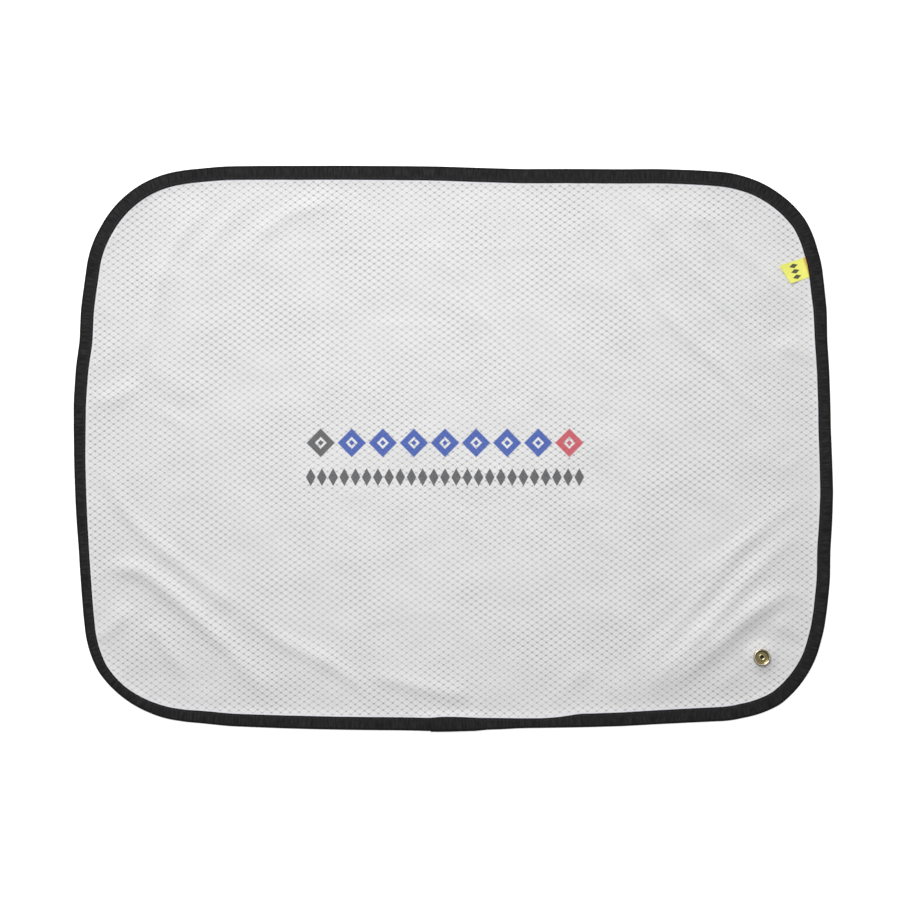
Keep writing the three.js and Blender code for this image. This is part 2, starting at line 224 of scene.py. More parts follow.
class NodeBench:
    """A new material's node tree, with short ways to add the nodes that the finishes share."""

    def __init__(self, name: str) -> None:
        """Start a material.

        Args:
            name: The material's name.
        """
        self.material = bpy.data.materials.new(name)
        self.material.use_nodes = True
        self.tree = self.material.node_tree
        self.shader = next(node for node in self.tree.nodes if node.type == "BSDF_PRINCIPLED")

    def feed(self, target: Socket, value: object) -> None:
        """Set a socket to a value, or link it to another socket.

        Args:
            target: The socket to set.
            value: A number, a tuple or a socket.
        """
        if isinstance(value, Socket):
            self.tree.links.new(value, target)
        else:
            target.default_value = value

    def add(self, kind: str, inputs: dict[int | str, object], **settings: object) -> bpy.types.Node:
        """Add a node.

        Args:
            kind: The node's type.
            inputs: What its sockets get, by name or place.
            settings: Its own properties.

        Returns:
            The node.
        """
        node = self.tree.nodes.new(kind)
        for key, value in settings.items():
            setattr(node, key, value)
        for key, value in inputs.items():
            self.feed(node.inputs[key], value)
        return node

    def shade(self, **inputs: object) -> None:
        """Set sockets of the shader; an underscore in a name stands for a space.

        Args:
            inputs: What its sockets get.
        """
        for key, value in inputs.items():
            self.feed(self.shader.inputs[key.replace("_", " ")], value)

    def math(self, operation: str, first: object, second: object = 0.0, clamp: bool = False) -> Socket:
        """Add a Math node.

        Args:
            operation: What it does.
            first: Its first number.
            second: Its second number.
            clamp: Whether the result stays between 0 and 1.

        Returns:
            Its result.
        """
        inputs = {0: first, 1: second}
        return self.add("ShaderNodeMath", inputs, operation=operation, use_clamp=clamp).outputs[0]

    def times(self, first: object, *others: object) -> Socket:
        """Multiply numbers.

        Args:
            first: The first number.
            others: The other numbers.

        Returns:
            Their product.
        """
        for other in others:
            first = self.math("MULTIPLY", first, other)
        return first

    def vector(self, operation: str, first: object, second: object) -> Socket:
        """Add a Vector Math node.

        Args:
            operation: What it does.
            first: Its first vector.
            second: Its second vector.

        Returns:
            The number of a dot product, or else the vector.
        """
        node = self.add("ShaderNodeVectorMath", {0: first, 1: second}, operation=operation)
        return node.outputs["Value" if operation == "DOT_PRODUCT" else "Vector"]

    def ramp(self, value: Socket, start: float, end: float, low: float = 0.0, high: float = 1.0) -> Socket:
        """Map a number smoothly from one range to another.

        Args:
            value: The number.
            start: Where the first range starts.
            end: Where the first range ends.
            low: The result at the start.
            high: The result at the end.

        Returns:
            The result.
        """
        inputs = {0: value, 1: start, 2: end, 3: low, 4: high}
        return self.add("ShaderNodeMapRange", inputs, interpolation_type="SMOOTHSTEP").outputs[0]

    def mix(self, share: object, first: object, second: object) -> Socket:
        """Mix two colours.

        Args:
            share: How much of the second colour shows.
            first: The first colour, as a socket or three numbers.
            second: The second colour, likewise.

        Returns:
            The mixed colour.
        """
        colours = [value if isinstance(value, Socket) else (*value, 1.0) for value in (first, second)]
        inputs = {0: share, 6: colours[0], 7: colours[1]}
        return self.add("ShaderNodeMix", inputs, data_type="RGBA").outputs[2]

    def noise(self, place: Socket, size: float, detail: float = 2.0) -> Socket:
        """Add a cloudy pattern.

        Args:
            place: Where to read it.
            size: The size of its clouds, in the place's unit.
            detail: How many finer layers it has.

        Returns:
            A number around 0.5.
        """
        inputs = {"Vector": place, "Scale": 1.0 / size, "Detail": detail}
        return self.add("ShaderNodeTexNoise", inputs).outputs[0]

    def wave(self, place: Socket, direction: tuple[float, float], pitch: float) -> Socket:
        """Add an even wave along a direction of a flat place.

        Args:
            place: Where to read it.
            direction: Its direction, as a unit vector.
            pitch: Its length, in the place's unit.

        Returns:
            A number from -1 to 1.
        """
        turn = 2.0 * math.pi / pitch
        across = (direction[0] * turn, direction[1] * turn, 0.0)
        return self.math("SINE", self.vector("DOT_PRODUCT", place, across))

    def bump(self, height: Socket, strength: float, distance: float) -> None:
        """Give the shader a relief.

        Args:
            height: The relief's height.
            strength: How much of it shows.
            distance: The height of 1, in metres.
        """
        inputs = {"Strength": strength, "Distance": distance, "Height": height}
        self.shade(Normal=self.add("ShaderNodeBump", inputs).outputs[0])

    def flat_place(self, uv_map: str) -> Socket:
        """Read a UV map in millimetres.

        Args:
            uv_map: The map's name.

        Returns:
            The place on the flat material.
        """
        place = self.add("ShaderNodeUVMap", {}, uv_map=uv_map).outputs[0]
        return self.vector("MULTIPLY", place, (1000.0, 1000.0, 1000.0))


@dataclass(frozen=True)
class LozengeRow:
    """A printed row of lozenges. Sizes are in millimetres from the cover's middle."""

    middle: tuple[float, float]
    pitch: float
    count: int
    half_width: float
    half_height: float
    blur: float = 0.06

    def mask(self, bench: NodeBench, place: Socket, scale: float = 1.0) -> Socket:
        """Mark where the row's lozenges are.

        Args:
            bench: The material's nodes.
            place: The place on the cloth, in millimetres.
            scale: The lozenges' size as a share of their full size.

        Returns:
            1 inside a lozenge and 0 outside.
        """
        split = bench.add("ShaderNodeSeparateXYZ", {0: place})
        from_middle = bench.math("SUBTRACT", split.outputs[0], self.middle[0])
        half_length = self.pitch * self.count / 2
        from_end = bench.math("ADD", from_middle, half_length)
        share = bench.math("FRACT", bench.math("DIVIDE", from_end, self.pitch))
        aside = bench.math("ABSOLUTE", bench.math("SUBTRACT", share, 0.5))
        above = bench.math("ABSOLUTE", bench.math("SUBTRACT", split.outputs[1], self.middle[1]))
        reach = bench.math(
            "ADD",
            bench.times(aside, self.pitch / self.half_width / scale),
            bench.times(above, 1.0 / self.half_height / scale),
        )
        inside = bench.ramp(reach, 1.0 - self.blur, 1.0 + self.blur, 1.0, 0.0)
        off_middle = bench.math("ABSOLUTE", from_middle)
        within = bench.ramp(off_middle, half_length, half_length + self.blur, 1.0, 0.0)
        return bench.times(inside, within)


@dataclass(frozen=True)
class GridFabric:
    """White cloth with a diamond grid of dark conductive yarn, and on its face a printed border."""

    name: str
    printed: bool
    ground: Colour = (0.76, 0.76, 0.76)
    yarn: Colour = (0.12, 0.12, 0.125)
    beside_tape: Colour = (0.82, 0.80, 0.86)
    blue: Colour = (0.028, 0.085, 0.40)
    grey: Colour = (0.085, 0.085, 0.09)
    red: Colour = (0.55, 0.07, 0.10)
    end_lozenges: tuple[float, float] = (-94.0, 81.0)
    hole_share: float = 0.42
    heart_share: float = 0.2
    falling_yarns: tuple[float, float] = (4.41, -34.6)  # pitch in mm, angle in degrees
    rising_yarns: tuple[float, float] = (4.30, 36.6)
    yarn_half: float = 0.40
    knot_half: float = 1.05
    yarn_depth: float = 0.26
    knot_depth: float = 0.68
    twist_pitch: float = 1.07
    wobble: float = 1.4
    ink_cover: float = 0.95
    twill_pitch: float = 0.55
    weave_pitch: float = 1.5
    weave_depth: float = 0.022
    upper_row: LozengeRow = LozengeRow((-6.5, 4.4), 25.0, 9, 11.4, 11.6)
    lower_row: LozengeRow = LozengeRow((-6.5, -23.2), 9.0, 25, 3.9, 7.2)

    def yarns(self, bench: NodeBench, place: Socket, run: tuple[float, float]) -> tuple[Socket, Socket]:
        """Mark one family of parallel yarns.

        Args:
            bench: The material's nodes.
            place: The place on the cloth, in millimetres.
            run: The yarns' pitch in millimetres and their angle in degrees.

        Returns:
            A narrow mask of the twisted yarns, and a wide plain one.
        """
        pitch, turn = run[0], math.radians(run[1])
        across = (-math.sin(turn) / pitch, math.cos(turn) / pitch, 0.0)
        along = (math.cos(turn) / self.twist_pitch, math.sin(turn) / self.twist_pitch, 0.0)
        share = bench.math("FRACT", bench.vector("DOT_PRODUCT", place, across))
        distance = bench.times(bench.math("ABSOLUTE", bench.math("SUBTRACT", share, 0.5)), pitch)
        twist = bench.math("FRACT", bench.vector("DOT_PRODUCT", place, along))
        twist = bench.ramp(bench.math("ABSOLUTE", bench.math("SUBTRACT", twist, 0.5)), 0.1, 0.4, 1.0, 0.5)
        narrow = bench.ramp(distance, self.yarn_half * 0.4, self.yarn_half * 1.3, 1.0, 0.0)
        wide = bench.ramp(distance, self.knot_half * 0.15, self.knot_half, 1.0, 0.0)
        return bench.times(narrow, twist), wide

    def make(self) -> bpy.types.Material:
        """Build the material.

        Returns:
            The material.
        """
        bench = NodeBench(self.name)
        place = bench.flat_place("cloth")
        cloud = bench.add("ShaderNodeTexNoise", {"Vector": place, "Scale": 0.03, "Detail": 1.0}).outputs[1]
        shift = bench.vector("SUBTRACT", cloud, (0.5, 0.5, 0.5))
        woven = bench.vector("ADD", place, bench.vector("MULTIPLY", shift, (self.wobble, self.wobble, 0.0)))
        falling, falling_wide = self.yarns(bench, woven, self.falling_yarns)
        rising, rising_wide = self.yarns(bench, woven, self.rising_yarns)
        lines = bench.times(bench.math("MAXIMUM", falling, rising), self.yarn_depth)
        knots = bench.times(falling_wide, rising_wide, self.knot_depth)
        contrast = bench.ramp(bench.noise(place, 60.0, 3.0), 0.3, 0.7, 0.75, 1.2)
        edge = bench.add("ShaderNodeAttribute", {}, attribute_name="beside_tape").outputs["Fac"]
        open_cloth = bench.math("SUBTRACT", 1.0, bench.times(edge, 0.8))
        grid = bench.math("MULTIPLY", bench.math("MAXIMUM", lines, knots), contrast, clamp=True)
        grid = bench.times(grid, open_cloth)
        speckle = bench.ramp(bench.noise(place, 0.9, 2.0), 0.3, 0.7, 0.89, 1.06)
        cloudy = bench.ramp(bench.noise(place, 25.0, 2.0), 0.3, 0.7, 0.985, 1.01)
        slant = math.sqrt(0.5)
        woven_wave = bench.wave(woven, (slant, -slant), self.weave_pitch)
        weave = bench.math("MULTIPLY_ADD", woven_wave, self.weave_depth)
        weave.node.inputs[2].default_value = 1.0
        light = bench.times(speckle, cloudy, weave)
        tone = bench.add("ShaderNodeCombineXYZ", {0: light, 1: light, 2: light}).outputs[0]
        ground = bench.vector("MULTIPLY", tone, self.ground)
        ground = bench.mix(bench.times(edge, 0.6), ground, self.beside_tape)
        cloth = bench.mix(grid, ground, self.yarn)
        if self.printed:
            cloth = self.print_border(bench, place, cloth)
        bench.shade(Base_Color=cloth, Roughness=0.88, Specular_IOR_Level=0.25)
        twill = bench.wave(woven, (slant, slant), self.twill_pitch)
        cross = bench.wave(woven, (slant, -slant), self.twill_pitch * 0.8)
        relief = bench.math("ADD", bench.times(twill, 0.5), bench.times(cross, 0.25))
        relief = bench.math("ADD", relief, bench.times(bench.math("MAXIMUM", falling, rising), 0.9))
        bench.bump(bench.math("ADD", relief, bench.noise(place, 1.6, 3.0)), 0.22, 0.00007)
        return bench.material

    def print_border(self, bench: NodeBench, place: Socket, cloth: Socket) -> Socket:
        """Print the two rows of lozenges on the cloth.

        Args:
            bench: The material's nodes.
            place: The place on the cloth, in millimetres.
            cloth: The bare cloth's colour.

        Returns:
            The printed cloth's colour.
        """
        patchy = bench.ramp(bench.noise(place, 0.8, 2.0), 0.25, 0.6, self.ink_cover - 0.16, self.ink_cover)
        scales = (1.0, self.hole_share, self.heart_share)
        whole, hole, heart = (self.upper_row.mask(bench, place, scale) for scale in scales)
        upper = bench.math("ADD", bench.math("SUBTRACT", whole, hole), heart, clamp=True)
        along = bench.add("ShaderNodeSeparateXYZ", {0: place}).outputs[0]
        first, last = self.end_lozenges
        ink = bench.mix(bench.ramp(along, first, first + 0.1), self.grey, self.blue)
        ink = bench.mix(bench.ramp(along, last, last + 0.1), ink, self.red)
        cloth = bench.mix(bench.times(upper, patchy), cloth, ink)
        return bench.mix(bench.times(self.lower_row.mask(bench, place), patchy), cloth, self.grey)


@dataclass(frozen=True)
class TapeFinish:
    """Matt black woven tape with faint streaks across it, and painted shade darkening it along its outer
    fold.
    """

    name: str = "black_binding_tape"
    dark: Colour = (0.0035, 0.0035, 0.004)
    worn: Colour = (0.021, 0.021, 0.0215)
    rib_pitch: float = 0.62
    fold_shade_half: float = 2.3
    fold_shade_tone: float = 0.12

    def make(self) -> bpy.types.Material:
        """Build the material.

        Returns:
            The material.
        """
        bench = NodeBench(self.name)
        place = bench.flat_place("tape")
        stretched = bench.vector("MULTIPLY", place, (1.0, 0.16, 1.0))
        streak = bench.ramp(bench.noise(stretched, 1.3, 3.0), 0.32, 0.7)
        across = bench.add("ShaderNodeSeparateXYZ", {0: place}).outputs[1]
        from_fold = bench.math("ABSOLUTE", across)
        # Painted shade: the tape is darker along its outer fold, where it turns down away from the light.
        painted_fold_shade = bench.ramp(from_fold, self.fold_shade_half / 2, self.fold_shade_half, self.fold_shade_tone, 1.0)
        patchy = bench.ramp(bench.noise(place, 14.0, 2.0), 0.3, 0.7, 0.75, 1.0)
        colour = bench.mix(bench.times(streak, painted_fold_shade, patchy), self.dark, self.worn)
        bench.shade(Base_Color=colour, Roughness=0.82, Specular_IOR_Level=0.28)
        rib = bench.wave(place, (1.0, 0.0), self.rib_pitch)
        weft = bench.wave(place, (0.0, 1.0), self.rib_pitch * 1.3)
        relief = bench.math("ADD", bench.times(rib, 0.5), bench.times(weft, 0.2))
        bench.bump(bench.math("ADD", relief, streak), 0.45, 0.00008)
        return bench.material


@dataclass(frozen=True)
class RibbonFinish:
    """Lime yellow satin ribbon, with painted orange shade where it leaves the tape, and three dark lozenges.
    """

    name: str = "lime_ribbon"
    lime: Colour = (0.86, 0.86, 0.17)
    painted_shade_colour: Colour = (0.62, 0.30, 0.03)
    dark: Colour = (0.05, 0.05, 0.04)
    painted_shade_run: float = 2.2
    mark: LozengeRow = LozengeRow((0.0, 10.5), 4.6, 3, 1.9, 3.6)

    def make(self) -> bpy.types.Material:
        """Build the material.

        Returns:
            The material.
        """
        bench = NodeBench(self.name)
        place = bench.flat_place("ribbon")
        from_tape = bench.add("ShaderNodeSeparateXYZ", {0: place}).outputs[1]
        patchy = bench.ramp(bench.noise(place, 2.5, 2.0), 0.3, 0.7, 0.0, 0.12)
        colour = bench.mix(patchy, self.lime, (0.70, 0.66, 0.08))
        # Painted shade: an orange darkening on the ribbon next to the tape's edge.
        colour = bench.mix(bench.ramp(from_tape, 0.5, self.painted_shade_run, 0.75, 0.0), colour, self.painted_shade_colour)
        colour = bench.mix(bench.times(self.mark.mask(bench, place), 0.95), colour, self.dark)
        bench.shade(Base_Color=colour, Roughness=0.5, Specular_IOR_Level=0.4)
        rib = bench.wave(place, (0.0, 1.0), 0.45)
        weft = bench.wave(place, (1.0, 0.0), 0.3)
        bench.bump(bench.math("ADD", bench.times(rib, 0.6), bench.times(weft, 0.3)), 0.3, 0.00005)
        return bench.material


@dataclass(frozen=True)
class ThreadFinish:
    """Twisted black sewing thread."""

    name: str = "black_thread"
    dark: Colour = (0.006, 0.006, 0.0065)
    light: Colour = (0.03, 0.03, 0.031)

    def make(self) -> bpy.types.Material:
        """Build the material.

        Returns:
            The material.
        """
        bench = NodeBench(self.name)
        place = bench.add("ShaderNodeTexCoord", {}).outputs["Object"]
        fibre = bench.ramp(bench.noise(place, 0.0003, 2.0), 0.35, 0.65)
        bench.shade(Base_Color=bench.mix(fibre, self.dark, self.light), Roughness=0.6)
        bench.bump(fibre, 0.3, 0.00003)
        return bench.material


@dataclass(frozen=True)
class StampedMetal:
    """Stamped and plated sheet metal, whose colour changes from ring to ring round its axis. Some rings are
    painted highlights, reflections and shade.

    Each ring is the distance from the axis from which it starts, in millimetres, and its colour.
    """

    name: str
    axis: tuple[float, float]
    rings: Rings
    roughness: float
    blend: float = 0.25
    tarnish: Colour = (0.30, 0.24, 0.12)
    unevenness: tuple[float, float] = (-0.07, 0.09)

    def make(self) -> bpy.types.Material:
        """Build the material.

        Returns:
            The material.
        """
        bench = NodeBench(self.name)
        place = bench.add("ShaderNodeTexCoord", {}).outputs["Object"]
        aside = bench.vector("SUBTRACT", place, (self.axis[0], self.axis[1], 0.0))
        aside = bench.vector("MULTIPLY", aside, (1.0, 1.0, 0.0))
        distance = bench.add("ShaderNodeVectorMath", {0: aside}, operation="LENGTH").outputs["Value"]
        colour = self.rings[0][1]
        for start, next_colour in self.rings[1:]:
            share = bench.ramp(distance, (start - self.blend) * MM, (start + self.blend) * MM)
            colour = bench.mix(share, colour, next_colour)
        patch = bench.ramp(bench.noise(place, 0.0016, 3.0), 0.35, 0.75, 0.0, 0.45)
        bright, dull = (self.roughness + change for change in self.unevenness)
        rough = bench.ramp(bench.noise(place, 0.0007, 4.0), 0.3, 0.7, bright, dull)
        bench.shade(Base_Color=bench.mix(patch, colour, self.tarnish), Metallic=1.0, Roughness=rough)
        bench.bump(bench.noise(place, 0.0004, 3.0), 0.08, 0.00004)
        return bench.material


@dataclass
class CoverEdge:
    """The cover's edge over the tape: four bowed sides and four round corners, each one arc.

    It is divided into stations, anticlockwise from the cut end of the tape on the front edge.
    wander and tape_widths are pairs of an angle round the cover, in degrees from its right end, and
    millimetres: how far the sewn edge strays outwards there, and how wide the tape shows.
    """

    length: float = 0.610
    width: float = 0.455
    corner_radius: float = 0.088
    bows: tuple[float, float, float, float] = (0.006, 0.004, 0.0085, 0.0055)
    stitch_pitch: float = 0.0032
    lap_start: float = -0.0185
    lap_length: float = 0.035
    lap_runout: float = 0.012
    layer: float = 0.0006
    arc_steps: int = 400
    wander: Pairs = (
        (2.7, -1.1), (11.7, -1.3), (16, -1.8), (20.3, -0.7), (24.4, -1.4), (28.5, -2.4), (33, -1.0),
        (38, -1.7), (43.5, -1.6), (48.4, -0.4), (53.5, -0.4), (59, -1.4), (65.6, -1.9), (76.5, -2.6),
        (84.5, -1.9), (92.6, -0.8), (101, -0.3), (112, 0.6), (118.5, 1.1), (124, 1.8), (129.6, 2.4),
        (134.6, 0.3), (140, -0.3), (148, -1.8), (155.5, -0.9), (159.7, -0.3), (164, -1.5), (168, 0.2),
        (173, 0.7), (177, 0.2), (186, -0.4), (195, -1.0), (199.5, -0.6), (204, 0.1), (208, 0.6),
        (212, 1.2), (217.7, -0.7), (221, -1.6), (225, -2.0), (228, -1.2), (231, 0), (240, 0),
        (259, -0.4), (267.4, 0), (275.5, -0.9), (279.5, -1.3), (283.5, -2.1), (291, -1.9), (301, -1.8),
        (306.7, -2.4), (312, -2.5), (316.8, -2.3), (322, 0.8), (328, 0), (332.4, -0.6), (336.6, 1.0),
        (340.7, 1.7), (344.8, 0.6), (349, 1.0), (353.6, 1.0), (358, -0.1),
    )
    tape_widths: Pairs = (
        (0, 10.2), (7, 10.0), (16, 10.1), (22, 11.1), (34, 11.8), (44, 12.0), (50, 11.6), (62, 11.6),
        (100, 11.4), (119, 11.3), (132, 11.0), (141, 11.3), (151, 10.8), (164, 10.5), (173, 10.0),
        (182, 9.2), (189, 8.9), (195, 8.4), (208, 8.4), (216, 7.9), (222, 9.3), (228, 10.2), (240, 10.5),
        (265, 10.7), (268, 11.7), (271, 11.2), (276, 9.8), (280, 9.1), (284, 8.0), (288, 7.9),
        (291, 8.8), (294.5, 11.0), (312, 11.5), (322, 11.8), (330, 11.0), (345, 10.8),
    )
    middle: np.ndarray = field(init=False)
    count: int = field(init=False)
    step: float = field(init=False)
    stations: np.ndarray = field(init=False)
    points: np.ndarray = field(init=False)
    normals: np.ndarray = field(init=False)
    angles: np.ndarray = field(init=False)
    radii: np.ndarray = field(init=False)
    facing: np.ndarray = field(init=False)
    widths: np.ndarray = field(init=False)
    overs: np.ndarray = field(init=False)
    rises: np.ndarray = field(init=False)

    def __post_init__(self) -> None:
        """Divide the edge into stations, two for each stitch."""
        low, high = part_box("fabric_panel")
        self.middle = np.array([low[0] + high[0], low[1] + high[1]]) / 2
        ring = self.trace()
        lengths = np.linalg.norm(np.roll(ring, -1, axis=0) - ring, axis=1)
        along = np.concatenate([[0.0], np.cumsum(lengths)])
        self.count = 2 * round(along[-1] / self.stitch_pitch)
        self.step = along[-1] / self.count
        self.stations = np.arange(self.count) * self.step
        closed = np.vstack([ring, ring[:1]])
        places = [np.interp(self.stations, along, closed[:, axis]) for axis in (0, 1)]
        self.points = np.column_stack(places) + self.middle
        self.normals = ring_normals(self.points)
        self.angles, self.radii = self.polar(self.points)
        outward = (self.points - self.middle) / self.radii[:, None]
        self.facing = (self.normals * outward).sum(axis=1)
        degrees, widths = np.array(self.tape_widths).T
        self.widths = ring_average(np.interp(self.angles, degrees, widths, period=360) * MM, 3)
        past_lap = smooth(self.stations, self.lap_length, self.lap_length + self.lap_runout)
        before_lap = smooth(self.stations, along[-1] - self.lap_runout, along[-1])
        self.overs = self.layer * (1 - past_lap)
        self.rises = self.overs + self.layer * before_lap

    def trace(self) -> np.ndarray:
        """Walk round the arcs, and let the line stray as a sewn edge does.

        Returns:
            Close points from the cut end of the tape, as rows of x and y from the cover's middle.
        """
        radius = self.corner_radius
        halves = (self.length / 2, self.width / 2, self.length / 2, self.width / 2)
        right, back, left, front = (half - bow - radius for half, bow in zip(halves, self.bows))
        corners = [Vector(c) for c in ((right, back), (-left, back), (-left, -front), (right, -front))]
        half_spans = [(corners[side] - corners[side - 1]).length / 2 for side in range(4)]
        drops = [(span**2 - bow**2) / (2 * bow) for span, bow in zip(half_spans, self.bows)]
        half_turns = [math.atan2(span, drop) for span, drop in zip(half_spans, drops)]
        arcs = []
        for side, (corner, bow, drop, half_turn) in enumerate(zip(corners, self.bows, drops, half_turns)):
            facing = side * math.pi / 2
            outward = Vector((math.cos(facing), math.sin(facing)))
            centre = (corners[side - 1] + corner) / 2 - outward * drop
            next_half_turn = half_turns[(side + 1) % 4]
            arcs.append((centre, radius + bow + drop, facing - half_turn, facing + half_turn))
            arcs.append((corner, radius, facing + half_turn, facing + math.pi / 2 - next_half_turn))
        ring = np.concatenate([
            np.array(centre)
            + arc_radius * np.column_stack([np.cos(turn), np.sin(turn)])
            for centre, arc_radius, start, end in arcs
            for turn in [np.linspace(start, end, self.arc_steps, endpoint=False)]
        ])
        degrees, strays = np.array(self.wander).T
        angle = np.degrees(np.arctan2(ring[:, 1], ring[:, 0]))
        stray = ring_average(np.interp(angle, degrees, strays, period=360) * MM, 12)
        ring = ring + ring_normals(ring) * stray[:, None]
        off_lap = np.where(ring[:, 1] < 0, abs(ring[:, 0] - self.lap_start), self.length)
        return np.roll(ring, -int(off_lap.argmin()), axis=0)

    def polar(self, places: np.ndarray) -> tuple[np.ndarray, np.ndarray]:
        """Give places by angle and distance from the cover's middle.

        Args:
            places: Rows of x and y.

        Returns:
            The angles in degrees, and the distances.
        """
        offset = places - self.middle
        return np.degrees(np.arctan2(offset[:, 1], offset[:, 0])), np.hypot(offset[:, 0], offset[:, 1])

    def beside(self, places: np.ndarray, values: np.ndarray) -> np.ndarray:
        """Read a value of the stations at the places inside them.

        Args:
            places: Rows of x and y.
            values: One value for each station.

        Returns:
            One value for each place.
        """
        return np.interp(self.polar(places)[0], self.angles, values, period=360)

    def depth(self, places: np.ndarray) -> np.ndarray:
        """Measure how far places are inside the edge.

        Args:
            places: Rows of x and y.

        Returns:
            One distance for each place.
        """
        inwards = self.beside(places, self.radii) - self.polar(places)[1]
        return inwards * self.beside(places, self.facing)


class Strength(Enum):
    """How bold a wrinkle is: its half width and its height, in millimetres."""

    CREASE = (1.6, 0.26)
    FAINT = (4.2, 0.75)
    PLAIN = (4.8, 1.45)
    BOLD = (5.2, 2.3)
    SWELL = (14.0, 1.7)


@dataclass(frozen=True)
class Wrinkle:
    """A ridge in the cloth. Its points, in millimetres, are along the side that is in shade."""

    strength: Strength
    points: Pairs

    def rise(self, places: np.ndarray, to_light: np.ndarray) -> np.ndarray:
        """Measure the ridge's height.

        Args:
            places: Rows of x and y from the cover's middle.
            to_light: The direction of the light over the floor, as a unit vector.

        Returns:
            The height at each place, in metres.
        """
        half, height = (size * MM for size in self.strength.value)
        foot = curve_through(self.points) * MM
        along = np.gradient(foot, axis=0)
        side = np.column_stack([-along[:, 1], along[:, 0]])
        side *= (np.sign(side @ to_light) / np.linalg.norm(side, axis=1))[:, None]
        crest = foot + side * half
        reach = 4 * half
        low, high = crest.min(axis=0) - reach, crest.max(axis=0) + reach
        near = ((places > low) & (places < high)).all(axis=1)
        result = np.zeros(len(places))
        if near.any():
            result[near] = self.profile(places[near], crest, half) * height
        return result

    @staticmethod
    def profile(places: np.ndarray, crest: np.ndarray, half: float) -> np.ndarray:
        """Read a rounded ridge that fades out at both ends.

        Args:
            places: Rows of x and y.
            crest: The ridge's line, likewise.
            half: Its half width.

        Returns:
            The share of the full height at each place.
        """
        best = np.full(len(places), np.inf)
        where = np.zeros(len(places))
        for index, (start, end) in enumerate(zip(crest, crest[1:])):
            run = end - start
            share = np.clip((places - start) @ run / (run @ run), 0.0, 1.0)
            distance = np.linalg.norm(places - start - share[:, None] * run, axis=1)
            closer = distance < best
            best[closer] = distance[closer]
            where[closer] = (index + share[closer]) / (len(crest) - 1)
        fade = 0.3
        return np.exp(-((best / half) ** 2) / 2) * smooth(where, 0, fade) * smooth(1 - where, 0, fade)


SWELL, BOLD, PLAIN, FAINT, CREASE = reversed(Strength)

WRINKLES = (
    # Back left corner
    Wrinkle(PLAIN, ((-228, 212), (-250, 195), (-270, 168), (-283, 140))),
    Wrinkle(PLAIN, ((-172, 215), (-216, 167), (-230, 135), (-240, 91), (-236, 50))),
    Wrinkle(PLAIN, ((-165, 158), (-140, 178), (-123, 187), (-85, 197))),
    Wrinkle(FAINT, ((-148, 210), (-183, 175), (-208, 139))),
    Wrinkle(FAINT, ((-284, 60), (-264, 87), (-250, 120))),
    # Left end
    Wrinkle(PLAIN, ((-294, 34), (-272, 36), (-250, 50))),
    Wrinkle(FAINT, ((-238, 28), (-228, 20), (-216, 14))),
    Wrinkle(PLAIN, ((-292, -8), (-264, -58), (-216, -102), (-168, -140))),
    # Front left corner
    Wrinkle(BOLD, ((-290, -98), (-268, -101), (-248, -106), (-216, -134), (-183, -166), (-140, -215))),
    Wrinkle(PLAIN, ((-175, -137), (-135, -162), (-99, -179), (-60, -212))),
    Wrinkle(PLAIN, ((-75, -185), (-40, -194), (-2, -203), (20, -204))),
    Wrinkle(PLAIN, ((-288, -159), (-272, -148), (-255, -128))),
    Wrinkle(PLAIN, ((-250, -143), (-236, -160), (-218, -188))),
    # Back right corner
    Wrinkle(PLAIN, ((100, 212), (134, 159), (167, 107), (207, 67), (247, 22), (266, -8))),
    Wrinkle(PLAIN, ((140, 212), (160, 182), (183, 151), (219, 107), (264, 68))),
    Wrinkle(PLAIN, ((194, 212), (211, 171), (247, 139), (284, 102))),
    Wrinkle(PLAIN, ((258, 82), (275, 74), (292, 64))),
    # Right end
    Wrinkle(FAINT, ((243, 20), (263, -18), (290, -2))),
    # Front right corner
    Wrinkle(PLAIN, ((296, -32), (247, -70), (219, -102), (187, -142), (138, -200))),
    Wrinkle(BOLD, ((293, -60), (247, -102), (223, -130), (199, -158), (148, -210))),
    Wrinkle(BOLD, ((290, -110), (247, -134), (219, -158), (160, -213))),
    Wrinkle(FAINT, ((271, -61), (236, -79), (199, -106), (166, -138), (121, -176))),
    Wrinkle(PLAIN, ((254, -191), (268, -178), (284, -164))),
    Wrinkle(FAINT, ((238, -174), (226, -187), (212, -200))),
    Wrinkle(PLAIN, ((270, -116), (280, -128), (290, -142))),
    Wrinkle(PLAIN, ((256, -141), (268, -150), (282, -158))),
    Wrinkle(SWELL, ((300, -92), (262, -128), (225, -160), (170, -192), (110, -222))),
    # Front edge
    Wrinkle(FAINT, ((80, -209), (96, -193), (114, -174))),
    Wrinkle(CREASE, ((-80, -145), (-40, -137), (0, -129))),
    # Creases where the cover was folded in three, both ways, and a few slanting ones
    Wrinkle(CREASE, ((-204, 97), (-206, 10), (-206, -90))),
    Wrinkle(CREASE, ((-106, 180), (-107, 95), (-107, 15))),
    Wrinkle(CREASE, ((-80, 215), (-79, 190), (-79, 160))),
    Wrinkle(CREASE, ((60, -45), (72, -110), (77, -175))),
    Wrinkle(CREASE, ((-185, 160), (-30, 159), (130, 160))),
    Wrinkle(CREASE, ((-75, 99), (-30, 98), (12, 99))),
    Wrinkle(CREASE, ((-210, 80), (-170, 115), (-130, 149))),
    Wrinkle(CREASE, ((-24, 172), (18, 111), (60, 60))),
)


